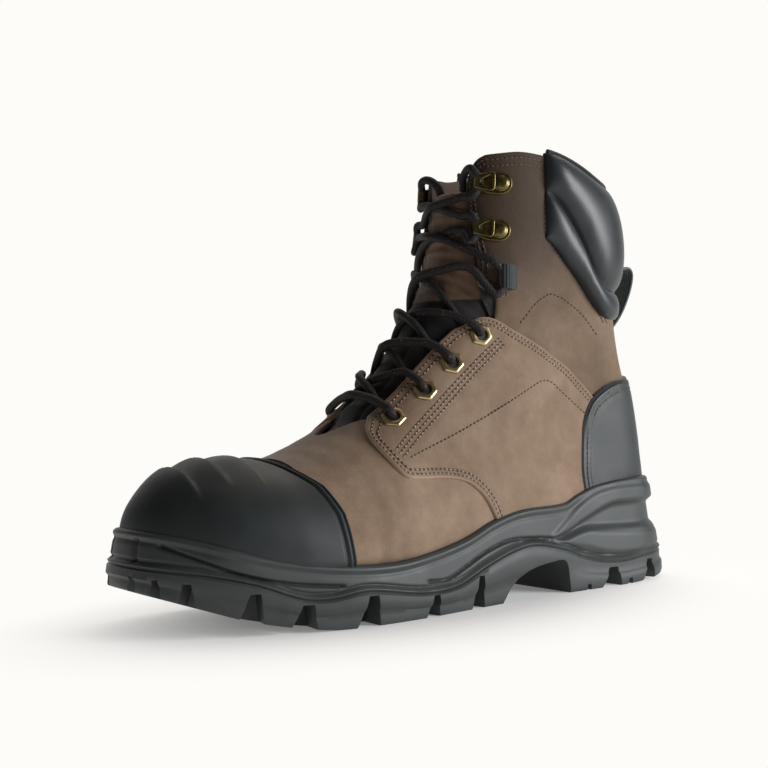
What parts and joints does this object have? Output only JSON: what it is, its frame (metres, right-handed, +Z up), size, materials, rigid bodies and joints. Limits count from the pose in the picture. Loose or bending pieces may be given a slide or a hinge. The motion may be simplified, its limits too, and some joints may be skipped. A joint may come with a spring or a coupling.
{
  "type": "safety boot",
  "caption": "Left lace-up safety boot: brown leather upper, padded collar, rubber toe cap and heel counter, hex eyelets, speed hooks and a lugged two-layer sole.",
  "frame": {"origin": "on the floor plane, on the heel tread under the middle of the heel seat", "axes": "+Z up, toe towards -Y, the outer (lateral) side towards +X"},
  "size_m": [0.1121, 0.3138, 0.2253],
  "materials": {
    "brown_leather": "oiled nubuck, matt",
    "dark_leather": "oiled nubuck, matt",
    "black_leather": "soft padded leather, satin",
    "cap_rubber": "moulded, matt",
    "sole_rubber": "moulded, matt",
    "antique_brass": "antiqued, satin",
    "lace_cord": "round braided cord",
    "webbing": "ribbed webbing",
    "insole_fabric": "brushed textile"
  },
  "bodies": {
    "root": {"outsole": "sole_rubber", "midsole": "sole_rubber", "upper": "brown_leather", "toe_cap": "cap_rubber", "heel_counter": "cap_rubber", "collar": "black_leather", "tongue": "dark_leather", "insole": "insole_fabric", "pull_loop": "webbing", "lace_loop_lateral": "webbing", "lace_loop_medial": "webbing", "lace_bar": "lace_cord", "lace_crossing_1": "lace_cord", "lace_crossing_2": "lace_cord", "lace_crossing_3": "lace_cord", "lace_crossing_4": "lace_cord", "lace_crossing_5": "lace_cord", "lace_crossing_6": "lace_cord", "eyelet_lateral_1": "antique_brass", "eyelet_lateral_2": "antique_brass", "eyelet_lateral_3": "antique_brass", "eyelet_lateral_4": "antique_brass", "eyelet_medial_1": "antique_brass", "eyelet_medial_2": "antique_brass", "eyelet_medial_3": "antique_brass", "eyelet_medial_4": "antique_brass", "hook_lateral_1": "antique_brass", "hook_lateral_2": "antique_brass", "hook_medial_1": "antique_brass", "hook_medial_2": "antique_brass"}
  },
  "joints": []
}
